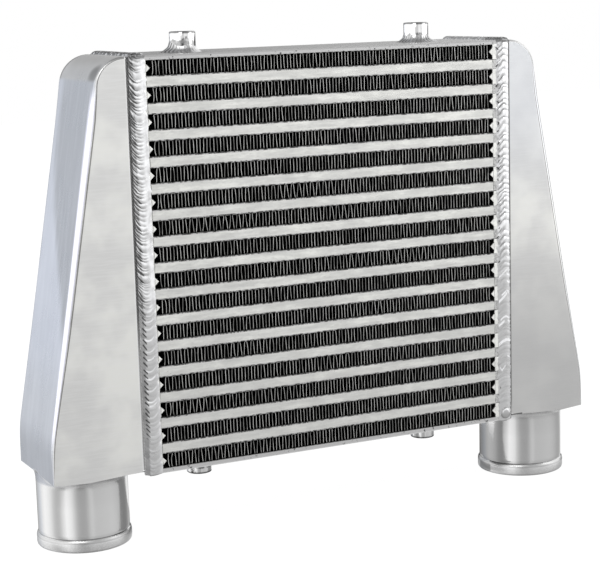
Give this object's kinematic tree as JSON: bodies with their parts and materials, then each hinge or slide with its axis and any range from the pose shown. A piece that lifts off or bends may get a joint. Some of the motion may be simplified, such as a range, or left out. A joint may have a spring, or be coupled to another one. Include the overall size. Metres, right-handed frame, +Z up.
{
  "type": "intercooler",
  "caption": "Air-to-air intercooler: bar-and-plate core between two tapering cast end tanks, each with a downward hose neck, with mounting bosses on the top and bottom plates.",
  "frame": {"origin": "under the middle of the core, in the plane of the two hose neck ends", "axes": "+X along the width from the left tank to the right tank, +Y through the core from front to rear, +Z up"},
  "size_m": [0.4262, 0.0792, 0.3476],
  "materials": {
    "end_tank": "cast, brushed flat faces and polished sides",
    "core_bar": "raw extruded, lightly scratched",
    "end_plate": "raw rolled sheet",
    "parting_sheet": "raw brazing sheet",
    "air_fin": "raw folded foil",
    "charge_fin": "raw folded foil",
    "weld_bead": "as welded, rippled",
    "boss": "turned and polished"
  },
  "bodies": {
    "root": {"bottom_end_plate": "end_plate", "top_end_plate": "end_plate", "parting_sheets": "parting_sheet", "rear_long_bars": "core_bar", "front_long_bars": "core_bar", "right_nose_bars": "core_bar", "left_nose_bars": "core_bar", "right_tank": "end_tank", "left_tank": "end_tank", "right_seam_weld": "weld_bead", "left_seam_weld": "weld_bead", "mounting_bosses": "boss", "boss_welds": "weld_bead", "air_fin_01": "air_fin", "air_fin_02": "air_fin", "air_fin_03": "air_fin", "air_fin_04": "air_fin", "air_fin_05": "air_fin", "air_fin_06": "air_fin", "air_fin_07": "air_fin", "air_fin_08": "air_fin", "air_fin_09": "air_fin", "air_fin_10": "air_fin", "air_fin_11": "air_fin", "air_fin_12": "air_fin", "air_fin_13": "air_fin", "air_fin_14": "air_fin", "air_fin_15": "air_fin", "air_fin_16": "air_fin", "charge_fin_01": "charge_fin", "charge_fin_02": "charge_fin", "charge_fin_03": "charge_fin", "charge_fin_04": "charge_fin", "charge_fin_05": "charge_fin", "charge_fin_06": "charge_fin", "charge_fin_07": "charge_fin", "charge_fin_08": "charge_fin", "charge_fin_09": "charge_fin", "charge_fin_10": "charge_fin", "charge_fin_11": "charge_fin", "charge_fin_12": "charge_fin", "charge_fin_13": "charge_fin", "charge_fin_14": "charge_fin", "charge_fin_15": "charge_fin"}
  },
  "joints": []
}
